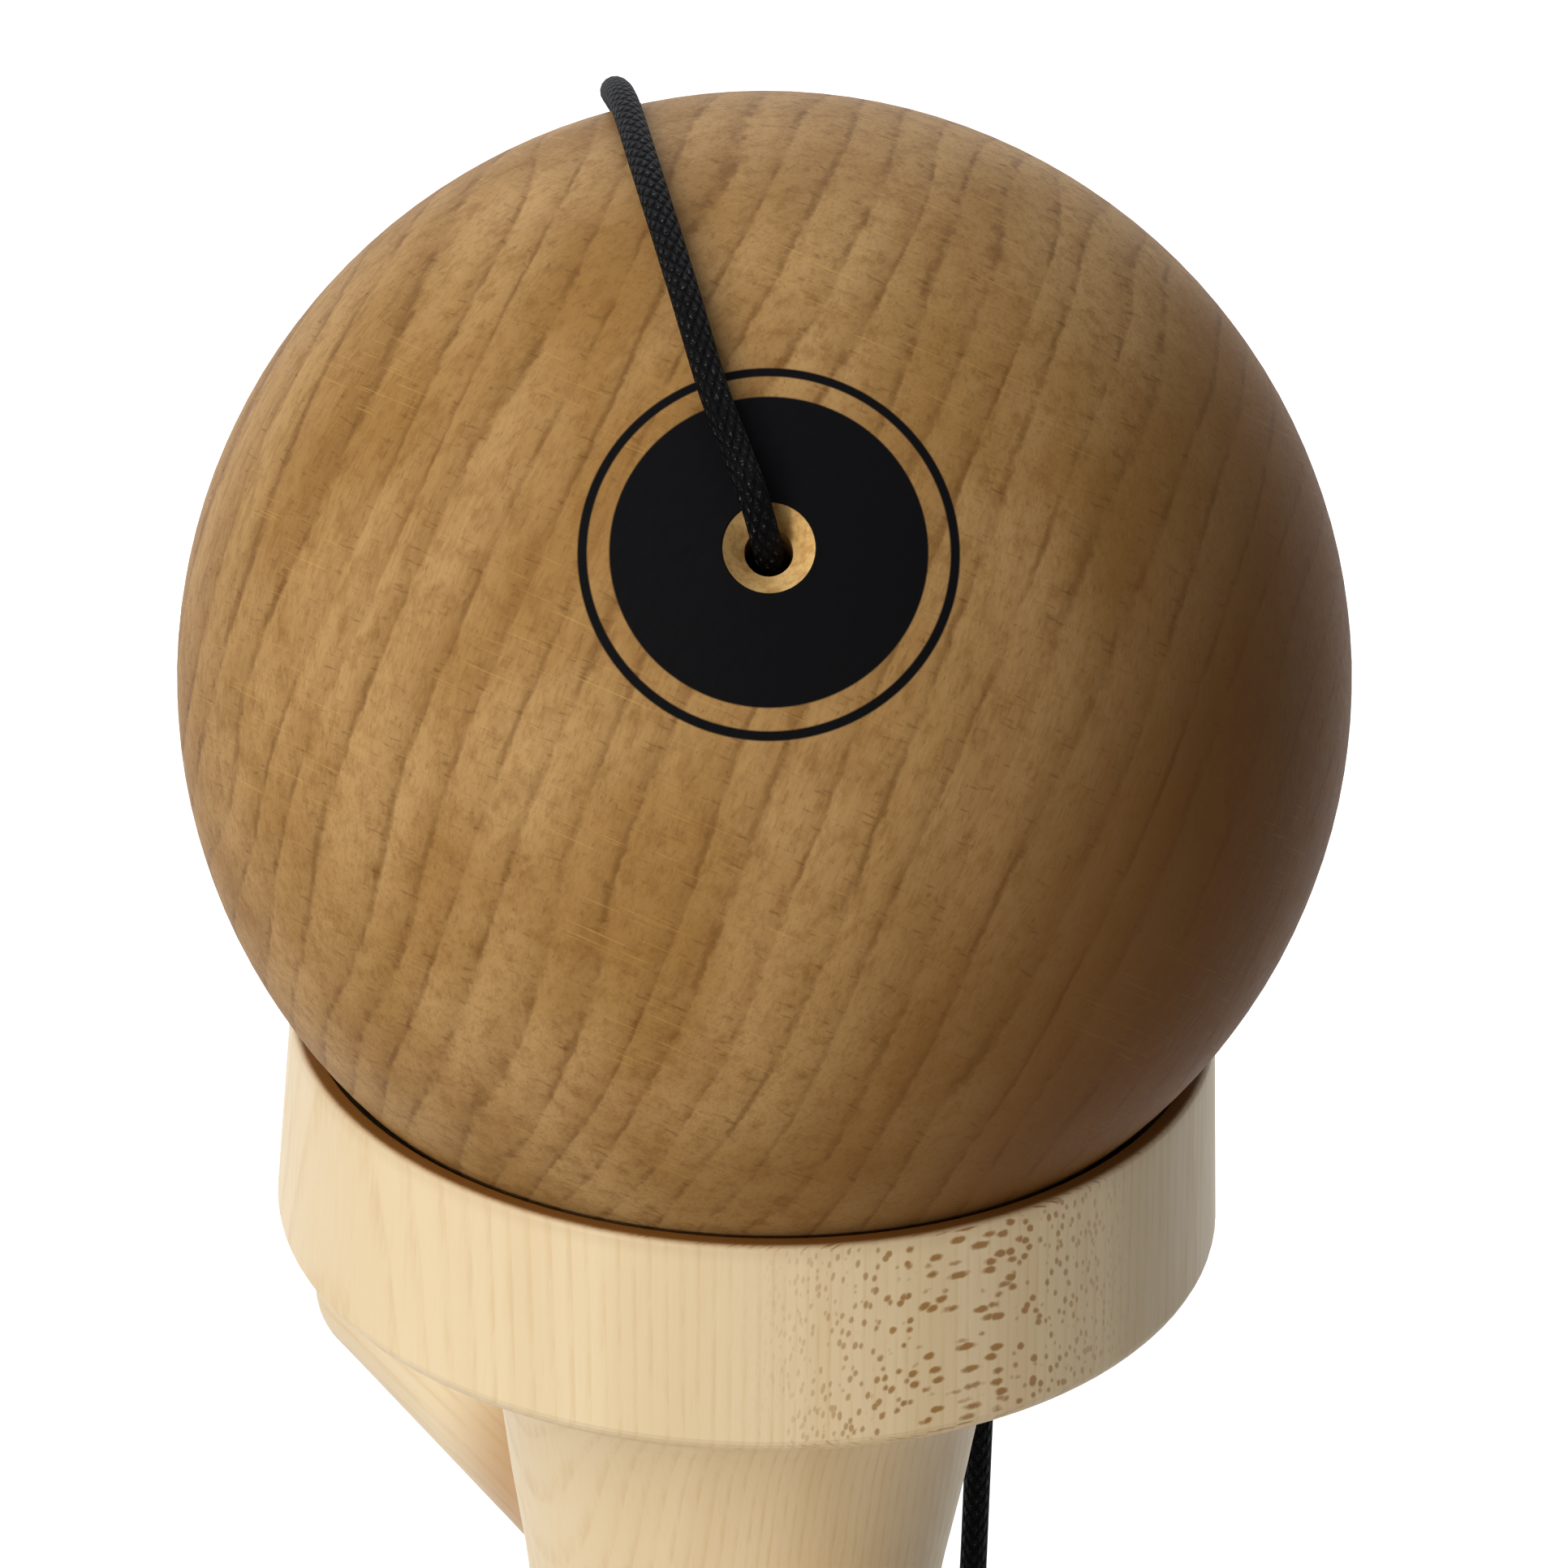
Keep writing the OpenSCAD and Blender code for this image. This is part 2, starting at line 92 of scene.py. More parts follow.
# Where the string lies on the ball, and its points on the way, from the ball's centre
WRAP_R = BALL_R + STRING_GAP + STRING_R
OVER_ROUTE = [
    (-12, -16.8, 23.2), (-11.7, -13.7, 25.3), (-10.3, -8, 28.2), (-7.8, -0.2, 30.1),
    (-3.7, 9.5, 29.3), (0.4, 17.5, 25.6), (4.6, 22.3, 21.3), (9.6, 23.7, 17.7),
    (15.1, 23.4, 14), (20.1, 21.5, 9.8), (23.8, 19.3, 5.4), (25.8, 17.3, 1.4),
]
# Its way out of the string hole: height over the ball's surface, and sideways
MOUTH_ROUTE = [(-7, 0), (-4.5, 0), (-2.4, 0), (-1.1, 0.2), (0, 0.85), (0.8, 1.8), (1.2, 3)]
# Where it hangs beside the ball, the knot below the bead, and the knot in the handle
HANG = WRAP_R * Vector((25.9, 17.1, 0)).normalized()
KNOT_TOP = 15.534
HANDLE_KNOT_X = 0.65


def smooth(route, step):
    """Points along a smooth line through the route, about this step apart."""
    last = len(route) - 1
    line = []
    for i in range(last):
        b, c = route[i], route[i + 1]
        a = route[i - 1] if i else 2 * b - c
        d = route[i + 2] if i < last - 1 else 2 * c - b
        count = max(1, round((c - b).length / step))
        for j in range(count):
            t = j / count
            line.append(b + 0.5 * (
                (c - a) * t
                + (2 * a - 5 * b + 4 * c - d) * t ** 2
                + (3 * b - a - 3 * c + d) * t ** 3
            ))
    return line + [route[last]]


def by_hang(x, y, z):
    """A point this far aside from the hanging string, at a height."""
    return Vector((HANG.x + x, HANG.y + y, z))


def over_route():
    """From the knot below the bead, out of the string hole, over the ball and down beside it."""
    first = Vector(OVER_ROUTE[0])
    lie = (first - first.dot(HOLE_DIR) * HOLE_DIR).normalized()
    return (
        [BALL_C + KNOT_TOP * HOLE_DIR]
        + [BALL_C + (BALL_R + h) * HOLE_DIR + s * lie for h, s in MOUTH_ROUTE]
        + [BALL_C + WRAP_R * Vector(p).normalized() for p in OVER_ROUTE]
        + [by_hang(0, 0, BALL_C.z - d) for d in (3, 6, 9)]
    )


# The coil of spare string: it winds inwards, steps up by one pitch, and winds out again
COIL_LOW, COIL_PITCH = 1.3, 2.0
TURNS_IN, TURNS_UP, COIL_TURNS, COIL_INSIDE = 1.25, 0.5, 2.25, 1.5
COIL_START_R = 9.7
COIL_AT = Vector((HANG.x - 0.55 - COIL_START_R, HANG.y + 12.9, 0))


def coil_point(turn):
    """The coil's middle line after this many turns."""
    r = COIL_START_R - COIL_PITCH * (turn if turn < COIL_INSIDE else 2 * COIL_INSIDE - turn)
    z = COIL_LOW + COIL_PITCH * min(1, max(0, (turn - TURNS_IN) / TURNS_UP))
    a = 2 * math.pi * turn
    return COIL_AT + Vector((r * math.cos(a), r * math.sin(a), z))


def string_path():
    """The whole string: over the ball, down, round the coil and up to the handle's knot."""
    rings = 72
    winding = [coil_point(i / rings) for i in range(int(COIL_TURNS * rings) + 1)]
    in_dir = (winding[1] - winding[0]).normalized()
    out_dir = (winding[-1] - winding[-2]).normalized()
    coil_in = winding[0] - 2 * STRING_R * in_dir
    coil_out = winding[-1] + 2 * STRING_R * out_dir
    fall = [by_hang(0, 0, z) for z in (BALL_C.z - 9, BALL_C.z - 13, 60, 44, 28, 16)] + [
        by_hang(0, 0.3, 8.5), by_hang(0, 1.5, 4.6),
        by_hang(-0.1, 4.2, 2), by_hang(-0.3, 7.4, COIL_LOW),
        coil_in - 1.5 * in_dir, coil_in,
    ]
    # Radii of the crosspiece beside the way up, and the height at which the string lies on the floor
    foot, neck, waist, floor = 20.5, 12.2, 10.8, STRING_R + 0.1
    leave = [(-5.2, -0.3, -0.2), (-9.7, -1.6, -1.4), (-15.7, -4.5, -2.4)]
    rise = [coil_out, coil_out + 2 * out_dir] + [coil_out + Vector(p) for p in leave]
    rise += [Vector(p) for p in (
        (-8.6, 30.4, floor), (-15.4, 25, floor), (-foot - 0.6, 18.2, floor), (-foot - 2, 12, floor),
        (-foot - 2.4, 8, floor + 0.6), (-foot - 2.1, 5.4, 3.9), (-foot - 1.7, 4.2, 6.8),
        (-foot - 1.2, 3.4, 9.4), (-foot - 0.1, 2.7, 11.6), (-foot + 1.8, 1.9, 12.9),
        (-neck - 4.6, 1.3, 14.4), (-neck - 3.2, 0.8, 17.2), (-neck - 2.7, 0.5, WAIST_Z - 12.2),
        (-waist - 3.9, 0.2, WAIST_Z - 8.2), (-waist - 3.8, 0, WAIST_Z - 5),
        (-waist - 3.7, 0, WAIST_Z - 3.4), (-waist - 3.3, 0, WAIST_Z - 2),
        (-waist - 2.5, 0, WAIST_Z - 0.9), (-waist - 1.4, 0, WAIST_Z - 0.2),
        (-waist - 0.2, 0, WAIST_Z), (-waist + 3.3, 0, WAIST_Z),
        (-2, 0, WAIST_Z), (HANDLE_KNOT_X, 0, WAIST_Z),
    )]
    step = 0.7
    over = smooth(over_route(), step)[:-1]
    return over + smooth(fall, step)[:-1] + winding + smooth(rise, step)


# The string's UV map: round it and along it
BRAID_UV = "braid"


def make_string(path):
    """A round tube along the path, with the angle and the length in its UV map for the braid."""
    sides = 16
    mesh = bpy.data.meshes.new("string")
    last = len(path) - 1
    heads = [
        (path[min(i + 1, last)] - path[max(i - 1, 0)]).normalized() for i in range(last + 1)
    ]
    # Any direction that isn't the string's own starts the rings, and each ring follows the last
    across = Vector((0.31, 0.52, 0.8))
    verts, lengths = [], [0.0]
    for i, head in enumerate(heads):
        across = (across - across.dot(head) * head).normalized()
        side = head.cross(across)
        for k in range(sides):
            a = 2 * math.pi * k / sides
            verts.append((path[i] + STRING_R * (math.cos(a) * across + math.sin(a) * side)) * MM)
        if i:
            lengths.append(lengths[-1] + (path[i] - path[i - 1]).length)
    faces, uvs = [], []
    for i in range(last):
        for k in range(sides):
            n = (k + 1) % sides
            low, high = i * sides, (i + 1) * sides
            faces.append((low + k, low + n, high + n, high + k))
            uvs += [
                (k / sides, lengths[i]), ((k + 1) / sides, lengths[i]),
                ((k + 1) / sides, lengths[i + 1]), (k / sides, lengths[i + 1]),
            ]
    caps = [tuple(range(sides))[::-1], tuple(last * sides + k for k in range(sides))]
    uvs += [(0, 0)] * (2 * sides)
    mesh.from_pydata(verts, [], faces + caps)
    layer = mesh.uv_layers.new(name=BRAID_UV)
    layer.data.foreach_set("uv", [x for uv in uvs for x in uv])
    mesh.polygons.foreach_set("use_smooth", [True] * len(faces) + [False] * 2)
    obj = bpy.data.objects.new("string", mesh)
    bpy.context.scene.collection.objects.link(obj)
    return obj


path = string_path()
string = make_string(path)
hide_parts("string_over_ball", "string_fall", "string_coil", "string_rise")
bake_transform(string)

# Materials


class Tree:
    """Short names for building a material's nodes."""

    def __init__(self, name):
        self.mat = bpy.data.materials.new(name)
        self.mat.use_nodes = True
        self.nodes = self.mat.node_tree.nodes
        self.links = self.mat.node_tree.links
        self.bsdf = self.nodes["Principled BSDF"]

    def put(self, socket, value):
        if isinstance(value, bpy.types.NodeSocket):
            self.links.new(value, socket)
        else:
            socket.default_value = value

    def surface(self, **values):
        """Sets the surface's inputs, named as words joined by underscores."""
        names = {name.lower().replace(" ", "_"): name for name in self.bsdf.inputs.keys()}
        for word, value in values.items():
            self.put(self.bsdf.inputs[names[word]], value)

    def math(self, op, a, b=0.0, c=0.0):
        node = self.nodes.new("ShaderNodeMath")
        node.operation = op
        for socket, value in zip(node.inputs, (a, b, c)):
            self.put(socket, value)
        return node.outputs[0]

    def times(self, a, b):
        return self.math("MULTIPLY", a, b)

    def vec(self, op, a, b=(0, 0, 0), scale=1.0):
        node = self.nodes.new("ShaderNodeVectorMath")
        node.operation = op
        self.put(node.inputs[0], a)
        if op == "SCALE":
            node.inputs["Scale"].default_value = scale
        elif op != "LENGTH":
            self.put(node.inputs[1], b)
        return node.outputs["Value" if op in ("DOT_PRODUCT", "LENGTH") else "Vector"]

    def xyz(self, x, y, z):
        node = self.nodes.new("ShaderNodeCombineXYZ")
        for socket, value in zip(node.inputs, (x, y, z)):
            self.put(socket, value)
        return node.outputs[0]

    def noise(self, vector, detail=2.0, rough=0.5):
        """Noise with one cycle per unit of the vector."""
        node = self.nodes.new("ShaderNodeTexNoise")
        self.put(node.inputs["Vector"], vector)
        for name, value in (("Scale", 1.0), ("Detail", detail), ("Roughness", rough)):
            node.inputs[name].default_value = value
        return node.outputs[0]

    def ramp(self, value, low, high, out_low=0.0, out_high=1.0):
        """A soft step from out_low, where the value is low, to out_high, where it is high."""
        node = self.nodes.new("ShaderNodeMapRange")
        node.interpolation_type = "SMOOTHSTEP"
        self.put(node.inputs["Value"], value)
        ends = {"From Min": low, "From Max": high, "To Min": out_low, "To Max": out_high}
        for name, end in ends.items():
            node.inputs[name].default_value = end
        return node.outputs[0]

    def band(self, value, low, rise, fall, high):
        """1 between rise and fall, and 0 below low and above high."""
        return self.times(self.ramp(value, low, rise), self.ramp(value, fall, high, 1.0, 0.0))

    def mix(self, share, a, b):
        node = self.nodes.new("ShaderNodeMix")
        node.data_type = "RGBA"
        factor, low, high = node.inputs[0], node.inputs[6], node.inputs[7]
        self.put(factor, share)
        for socket, colour in ((low, a), (high, b)):
            is_link = isinstance(colour, bpy.types.NodeSocket)
            self.put(socket, colour if is_link else (*colour, 1.0))
        return node.outputs[2]

    def bump(self, height, depth_mm, strength):
        node = self.nodes.new("ShaderNodeBump")
        node.inputs["Strength"].default_value = strength
        node.inputs["Distance"].default_value = depth_mm * MM
        self.put(node.inputs["Height"], height)
        self.surface(normal=node.outputs[0])

    def place(self):
        """The place on the object, in millimetres."""
        coord = self.nodes.new("ShaderNodeTexCoord")
        return self.vec("SCALE", coord.outputs["Object"], scale=1 / MM)


def srgb(r, g, b):
    """A colour given as a screen's bytes, as linear values."""
    shares = (r / 255, g / 255, b / 255)
    return tuple(c / 12.92 if c <= 0.04045 else ((c + 0.055) / 1.055) ** 2.4 for c in shares)


def grain_frame(t, place, across, along):
    """The place along the timber's axes: across its layers, along its fibres, and between."""
    across, along = Vector(across).normalized(), Vector(along)
    along = (along - along.dot(across) * across).normalized()
    deep = across.cross(along)
    return [t.vec("DOT_PRODUCT", place, tuple(axis)) for axis in (across, along, deep)]


def stretched(t, axes, scales, detail=2.0, rough=0.5):
    """Noise with its own scale along each of the timber's axes, in cycles per millimetre."""
    parts = [t.times(axis, scale) for axis, scale in zip(axes, scales)]
    return t.noise(t.xyz(*parts), detail, rough)


def moved(t, layer, noise, reach):
    """The place across the layers, moved by noise over this reach in all."""
    return t.math("MULTIPLY_ADD", t.math("SUBTRACT", noise, 0.5), reach, layer)


# The ball: directions of its timber, the width of a year's growth, and how much its layers close in
BALL_ACROSS = (0.71, -0.62, -0.32)
BALL_ALONG = (0.53, 0.19, 0.82)
BALL_YEAR = 2.15
BALL_CLOSING = 0.007
PALE_LOW, PALE_HIGH = srgb(149, 111, 61), srgb(178, 142, 93)
# The brown of the painted shade on the ball's side away from the lamps, and a mottle
SHADE_SIDE_BROWN, MOTTLE = srgb(92, 53, 20), srgb(122, 82, 39)
LATE, YEAR_LINE = srgb(108, 70, 31), srgb(88, 52, 20)
FIBRE, TICK = srgb(112, 78, 40), srgb(92, 60, 28)
PORE, RAY = srgb(76, 50, 28), srgb(198, 156, 88)
RAW_LOW, RAW_HIGH = srgb(178, 136, 78), srgb(214, 178, 118)
INK = srgb(12, 12, 14)
# Radii of the disc and the ring round the string hole, and half the softness of their edges
DISC_R, RING_IN_R, RING_OUT_R, INK_SOFT = 7.78, 8.86, 9.33, 0.06
# Depths below the ball's surface between which its holes go over into raw wood
RAW_START, RAW_FULL = 0.04, 0.09


def ball_grain(t, axes):
    """The ball's colour, and the fibres and pores that its gloss and relief follow."""
    across, along, deep = axes
    # The growth layers fan out from a line far behind the ball, so they are wider at its front
    layer = t.math("DIVIDE", across, t.math("MULTIPLY_ADD", deep, BALL_CLOSING, 1.0))
    slow = stretched(t, axes, (0.05, 0.018, 0.03))
    uneven = stretched(t, axes, (0.3, 0.02, 0.05), 1.0)
    rough = stretched(t, axes, (1.5, 0.9, 1.5), 3.0, 0.6)
    for noise, reach in ((slow, 6.0), (uneven, 2.4), (rough, 0.5)):
        layer = moved(t, layer, noise, reach)
    year = t.math("FRACT", t.math("DIVIDE", layer, BALL_YEAR))
    late = t.band(year, 0.15, 0.88, 0.9, 1.0)
    year_line = t.band(year, 0.74, 0.88, 0.9, 1.0)
    vigour = stretched(t, (layer, along, deep), (0.3, 0.03, 0.03), 2.0, 0.6)
    broken = stretched(t, axes, (0.6, 0.12, 0.6), 3.0, 0.6)
    cloud = stretched(t, axes, (0.1, 0.05, 0.1), 3.0)
    mottle = stretched(t, axes, (1.1, 0.6, 1.1), 4.0, 0.7)
    fibre = stretched(t, axes, (5.0, 0.6, 5.0), 3.0, 0.65)
    pores = stretched(t, axes, (6.0, 1.6, 6.0), 1.0)
    rays = stretched(t, axes, (0.24, 10.0, 0.24), 1.0)
    ticks = stretched(t, axes, (0.9, 5.0, 0.9), 2.0)
    flocks = stretched(t, axes, (0.07, 0.14, 0.07), 1.0)

    col = t.mix(t.ramp(cloud, 0.3, 0.7), PALE_LOW, PALE_HIGH)
    # Painted shade: the timber is darker on the side away from the lamps
    col = t.mix(t.ramp(across, 5.0, 24.0, 0.0, 0.8), col, SHADE_SIDE_BROWN)
    col = t.mix(t.ramp(mottle, 0.42, 0.72, 0.0, 0.5), col, MOTTLE)
    col = t.mix(t.times(late, t.ramp(vigour, 0.3, 0.7, 0.36, 0.1)), col, LATE)
    col = t.mix(t.times(year_line, t.ramp(broken, 0.38, 0.64, 0.0, 0.46)), col, YEAR_LINE)
    col = t.mix(t.ramp(fibre, 0.4, 0.8, 0.0, 0.34), col, FIBRE)
    tick_share = t.math("MULTIPLY_ADD", late, 0.34, 0.14)
    col = t.mix(t.times(t.ramp(ticks, 0.58, 0.74), tick_share), col, TICK)
    col = t.mix(t.ramp(pores, 0.64, 0.74, 0.0, 0.24), col, PORE)
    # Rays gleam in flocks, and less on the side with the painted shade
    gleam = t.times(t.ramp(flocks, 0.44, 0.62), t.ramp(across, 0.0, 16.0, 0.32, 0.08))
    col = t.mix(t.times(t.ramp(rays, 0.62, 0.74), gleam), col, RAY)
    return col, fibre, pores


def ball_marks(t, from_c):
    """Where the plain disc and ring lie round the string hole, and where the holes are raw."""
    height = t.vec("DOT_PRODUCT", from_c, tuple(HOLE_DIR))
    far = t.vec("LENGTH", from_c)
    aside = t.math("SQRT", t.math("SUBTRACT", t.times(far, far), t.times(height, height)))
    disc = t.ramp(aside, DISC_R - INK_SOFT, DISC_R + INK_SOFT, 1.0, 0.0)
    ring = t.band(
        aside,
        RING_IN_R - INK_SOFT,
        RING_IN_R + INK_SOFT,
        RING_OUT_R - INK_SOFT,
        RING_OUT_R + INK_SOFT,
    )
    front = t.math("GREATER_THAN", height, 0.0)
    ink = t.times(front, t.math("MAXIMUM", disc, ring))
    raw = t.ramp(far, BALL_R - RAW_FULL, BALL_R - RAW_START, 1.0, 0.0)
    return ink, raw


def ball_wood():
    t = Tree("ball_wood")
    from_c = t.vec("SUBTRACT", t.place(), tuple(BALL_C))
    col, fibre, pores = ball_grain(t, grain_frame(t, from_c, BALL_ACROSS, BALL_ALONG))
    ink, raw = ball_marks(t, from_c)
    speck = t.noise(t.vec("SCALE", from_c, scale=1.6), 4.0, 0.7)
    col = t.mix(ink, col, INK)
    col = t.mix(raw, col, t.mix(t.ramp(speck, 0.3, 0.7), RAW_LOW, RAW_HIGH))
    matt = t.math("MULTIPLY_ADD", raw, 0.35, t.times(ink, 0.2))
    roughness = t.math("ADD", t.ramp(fibre, 0.3, 0.7, 0.45, 0.56), matt)
    t.surface(base_color=col, roughness=roughness, specular_ior_level=0.03)
    relief = t.math("ADD", t.times(fibre, 0.5), t.times(pores, -0.3))
    t.bump(t.times(relief, t.math("SUBTRACT", 1.0, ink)), 0.04, 0.6)
    return t.mat


# The pale wood of the crosspiece and the handle
MAPLE_YEAR = 0.62
MAPLE_LOW, MAPLE_HIGH = srgb(217, 195, 157), srgb(224, 204, 168)
MAPLE_FIBRE, MAPLE_LINE = srgb(206, 176, 130), srgb(200, 166, 116)
# The rays' fleck, and the browns of the painted shade on the cup's lip and on the spike's foot
FLECK, LIP_SHADE_BROWN, FOOT_SHADE_BROWN = srgb(146, 102, 42), srgb(124, 80, 32), srgb(163, 117, 64)
# Which way the rays run in the crosspiece, and their cells' length, height and thickness
RAY_DIR = Vector((1.0, -0.05, 0.0)).normalized()
RAY_CELL = (1.9, 0.66, 0.1)
# Where painted shade browns the spike's foot along the handle (start, full, full, end), and how much
FOOT_SHADE_RUN, FOOT_SHADE_SHARE = (8.0, 10.0, 15.0, 25.0), 0.75


def maple(t, axes):
    """Pale wood with faint lines along its fibres: its colour, with the gloss and relief set."""
    across, along, deep = axes
    layer = moved(t, across, stretched(t, axes, (0.07, 0.006, 0.04)), 3.0)
    year = t.math("FRACT", t.math("DIVIDE", layer, MAPLE_YEAR))
    line = t.band(year, 0.45, 0.85, 0.88, 1.0)
    broken = stretched(t, axes, (2.0, 0.3, 2.0), 3.0, 0.6)
    tone = stretched(t, (layer, along, deep), (0.4, 0.012, 0.03))
    fibre = stretched(t, axes, (3.2, 0.16, 3.2), 3.0, 0.6)
    col = t.mix(t.ramp(tone, 0.3, 0.7), MAPLE_LOW, MAPLE_HIGH)
    col = t.mix(t.ramp(fibre, 0.5, 0.8, 0.0, 0.18), col, MAPLE_FIBRE)
    col = t.mix(t.times(line, t.ramp(broken, 0.35, 0.65, 0.06, 0.34)), col, MAPLE_LINE)
    t.surface(roughness=t.ramp(fibre, 0.3, 0.7, 0.42, 0.52), specular_ior_level=0.3)
    t.bump(fibre, 0.03, 0.5)
    return col


def ray_fleck(t, axes, high):
    """Rays are thin ribbons: bars where the cup's wall lies along them, then spots, then ticks."""
    cells = t.nodes.new("ShaderNodeTexVoronoi")
    cells.inputs["Scale"].default_value = 1.0
    parts = [t.math("DIVIDE", axis, size) for axis, size in zip(axes, RAY_CELL)]
    t.put(cells.inputs["Vector"], t.xyz(*parts))
    blur = stretched(t, axes, (2.5, 2.5, 2.5))
    away = t.math("MULTIPLY_ADD", blur, 0.3, cells.outputs["Distance"])
    ribbon = t.ramp(away, 0.36, 0.58, 0.92, 0.0)
    geometry = t.nodes.new("ShaderNodeNewGeometry")
    cut = t.math("ABSOLUTE", t.vec("DOT_PRODUCT", geometry.outputs["Normal"], tuple(RAY_DIR)))
    on_wall = t.ramp(high, BIG_WALL_Z - 1, BIG_WALL_Z + 1)
    return t.times(ribbon, t.times(t.ramp(cut, 0.1, 0.5, 1.0, 0.0), on_wall))


def crosspiece_wood():
    t = Tree("maple_crosspiece")
    place = t.place()
    axes = grain_frame(t, place, RAY_DIR, (0.03, 0.02, 1.0))
    high = t.vec("DOT_PRODUCT", place, (0, 0, 1))
    col = t.mix(ray_fleck(t, axes, high), maple(t, axes), FLECK)
    # Painted shade: the lip is brown where the ball meets it and shades it
    out = t.vec("LENGTH", t.vec("MULTIPLY", place, (1, 1, 0)))
    inside = t.ramp(out, BIG_LIP_R - 0.1, BIG_LIP_R + 0.4, 1.0, 0.0)
    at_rim = t.ramp(high, RIM_Z - 1.2, RIM_Z - 0.4)
    t.surface(base_color=t.mix(t.times(inside, at_rim), col, LIP_SHADE_BROWN))
    return t.mat


def handle_wood():
    t = Tree("maple_handle")
    place = t.place()
    col = maple(t, grain_frame(t, place, (0.8, 0.0, 0.6), (0.02, 1.0, 0.0)))
    # Painted shade: the spike is browner where it leaves the crosspiece, in the neck's shadow
    run = t.vec("DOT_PRODUCT", place, (0, 1, 0))
    foot = t.times(t.band(run, *FOOT_SHADE_RUN), FOOT_SHADE_SHARE)
    t.surface(base_color=t.mix(foot, col, FOOT_SHADE_BROWN))
    return t.mat


# The string's braid: strands each way, and the length of string in which the pattern repeats
STRANDS = 8
BRAID_REPEAT = 0.95
BRAID_LOW, BRAID_HIGH, BRAID_GLINT = srgb(2, 2, 3), srgb(7, 7, 8), srgb(86, 86, 88)


def braid():
    t = Tree("string")
    uv = t.nodes.new("ShaderNodeUVMap")
    uv.uv_map = BRAID_UV
    split = t.nodes.new("ShaderNodeSeparateXYZ")
    t.links.new(uv.outputs[0], split.inputs[0])
    turn = t.times(split.outputs[0], math.pi * STRANDS)
    run = t.times(split.outputs[1], math.pi / BRAID_REPEAT)
    one, two = [
        t.math("ABSOLUTE", t.math("SINE", t.math(way, turn, run))) for way in ("ADD", "SUBTRACT")
    ]
    pillow = t.times(one, two)
    threads = t.noise(t.vec("SCALE", t.place(), scale=9.0))
    col = t.mix(t.ramp(pillow, 0.05, 0.8), BRAID_LOW, BRAID_HIGH)
    # Single threads catch the light where a strand comes to the top
    glint = t.times(t.ramp(pillow, 0.45, 0.85), t.ramp(threads, 0.57, 0.66, 0.0, 0.9))
    t.surface(
        base_color=t.mix(glint, col, BRAID_GLINT),
        roughness=t.ramp(threads, 0.3, 0.7, 0.5, 0.7),
        specular_ior_level=0.04,
    )
    t.bump(t.math("ADD", pillow, t.times(threads, 0.25)), 0.16, 1.0)
    return t.mat


def plain(name, low, high, scale, roughness):
    """A slightly uneven material of two colours, with this many cycles of noise per millimetre."""
    t = Tree(name)
    grain = t.noise(t.vec("SCALE", t.place(), scale=scale), 3.0)
    t.surface(base_color=t.mix(t.ramp(grain, 0.3, 0.7), low, high), roughness=roughness)
    t.bump(grain, 0.03, 0.5)
    return t.mat


def dress(obj, material):
    obj.data.materials.clear()
    obj.data.materials.append(material)


knot_mat = plain("knot", srgb(12, 12, 13), srgb(38, 38, 40), 4.0, 0.6)
dress(string, braid())
dress(nodes["ball"], ball_wood())
dress(nodes["cup_crosspiece"], crosspiece_wood())
dress(nodes["handle"], handle_wood())
dress(nodes["ball_bead"], plain("bead", srgb(176, 136, 84), srgb(206, 168, 112), 1.2, 0.5))
dress(nodes["ball_knot"], knot_mat)
dress(nodes["handle_knot"], knot_mat)
dress(nodes["coil_tie"], plain("tie", srgb(26, 26, 27), srgb(44, 44, 46), 2.0, 0.55))

# Floor and light

# Half the floor's width, in metres, and its grey as the object and as the camera meet it
FLOOR_HALF = 6.0
FLOOR_GREY, FLOOR_WHITE = (0.36, 0.36, 0.36), (0.95, 0.95, 0.95)
# The floor's own glow near the object, and where it goes over into the white, in millimetres
FLOOR_GLOW, FADE_START, FADE_END = 0.45, 300, 1500
WORLD_DIM, WORLD_WHITE = 0.13, 1.0
WHITE = (1.0, 1.0, 1.0)
# Each lamp's direction from the ball as the camera sees it (right, up, back), its distance and
# size in metres, its power in watts and its colour
LAMPS = {
    "key": ((-0.55, 0.36, 0.75), 1.3, 1.0, 11.5, WHITE),
    "top": ((-0.05, 0.9, -0.3), 1.5, 2.0, 18.0, (0.95, 0.99, 1.08)),
    "low": ((-0.54, -0.28, 0.8), 1.8, 0.6, 15.5, (1.0, 0.95, 0.87)),
    "edge": ((0.9, 0.1, 0.1), 1.4, 0.5, 1.0, WHITE),
}
LAMP_AIM = Vector((0, 0, 0.07))


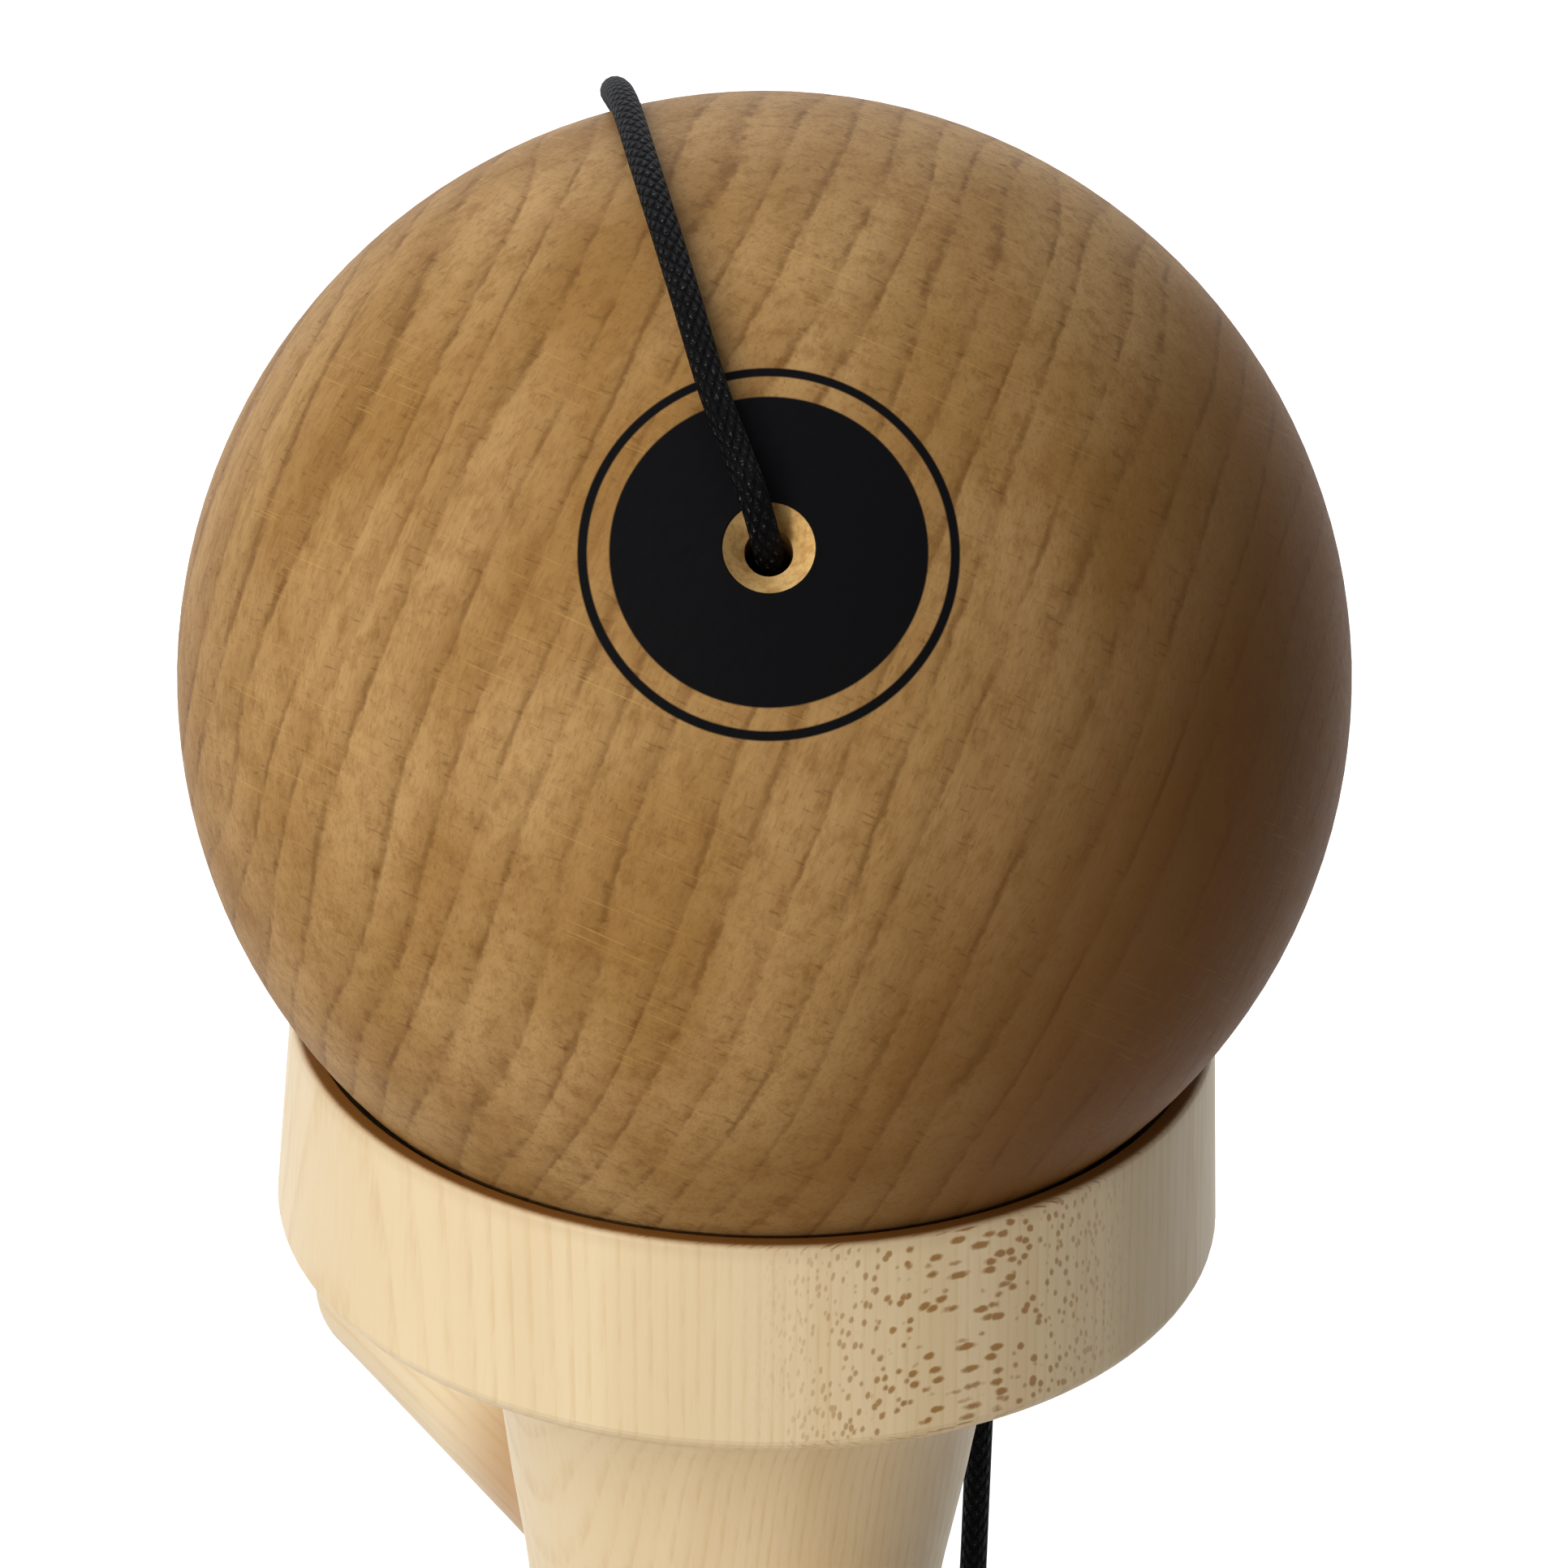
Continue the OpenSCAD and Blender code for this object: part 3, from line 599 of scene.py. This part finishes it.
def shows_background(tree):
    """1 for the rays that show the background: the camera's own, and those in gloss and glass."""
    rays = tree.nodes.new("ShaderNodeLightPath")
    shown = rays.outputs["Is Camera Ray"]
    for name in ("Is Glossy Ray", "Is Transmission Ray"):
        either = tree.nodes.new("ShaderNodeMath")
        either.operation = "MAXIMUM"
        tree.links.new(shown, either.inputs[0])
        tree.links.new(rays.outputs[name], either.inputs[1])
        shown = either.outputs[0]
    return shown


def make_floor():
    mesh = bpy.data.meshes.new("floor")
    rim = [(x * FLOOR_HALF, y * FLOOR_HALF, 0) for x, y in ((-1, -1), (1, -1), (1, 1), (-1, 1))]
    mesh.from_pydata(rim, [], [(0, 1, 2, 3)])
    floor = bpy.data.objects.new("floor", mesh)
    bpy.context.scene.collection.objects.link(floor)
    t = Tree("floor")
    seen = shows_background(t.mat.node_tree)
    # Away from the object the floor goes over into the white background
    glow = t.ramp(t.vec("LENGTH", t.place()), FADE_START, FADE_END, FLOOR_GLOW, 1.0)
    t.surface(
        base_color=t.mix(seen, FLOOR_GREY, FLOOR_WHITE),
        roughness=0.9,
        specular_ior_level=0.0,
        emission_color=(1, 1, 1, 1),
        emission_strength=t.times(seen, glow),
    )
    dress(floor, t.mat)


def make_lamp(name, direction, distance, size, power, colour):
    data = bpy.data.lights.new(name, "AREA")
    data.shape = "DISK"
    data.size = size
    data.energy = power
    data.color = colour
    lamp = bpy.data.objects.new(name, data)
    bpy.context.scene.collection.objects.link(lamp)
    from_ball = bpy.context.scene.camera.matrix_world.to_3x3() @ Vector(direction)
    lamp.location = BALL_C * MM + distance * from_ball.normalized()
    lamp.rotation_euler = (LAMP_AIM - lamp.location).to_track_quat("-Z", "Y").to_euler()


def make_world():
    world = bpy.data.worlds.new("studio")
    bpy.context.scene.world = world
    world.use_nodes = True
    tree = world.node_tree
    background = tree.nodes["Background"]
    background.inputs["Color"].default_value = (1, 1, 1, 1)
    strength = tree.nodes.new("ShaderNodeMapRange")
    strength.inputs["To Min"].default_value = WORLD_DIM
    strength.inputs["To Max"].default_value = WORLD_WHITE
    tree.links.new(shows_background(tree), strength.inputs["Value"])
    tree.links.new(strength.outputs[0], background.inputs["Strength"])


make_floor()
for name, lamp in LAMPS.items():
    make_lamp(name, *lamp)
make_world()
bpy.context.scene.view_settings.view_transform = "Standard"
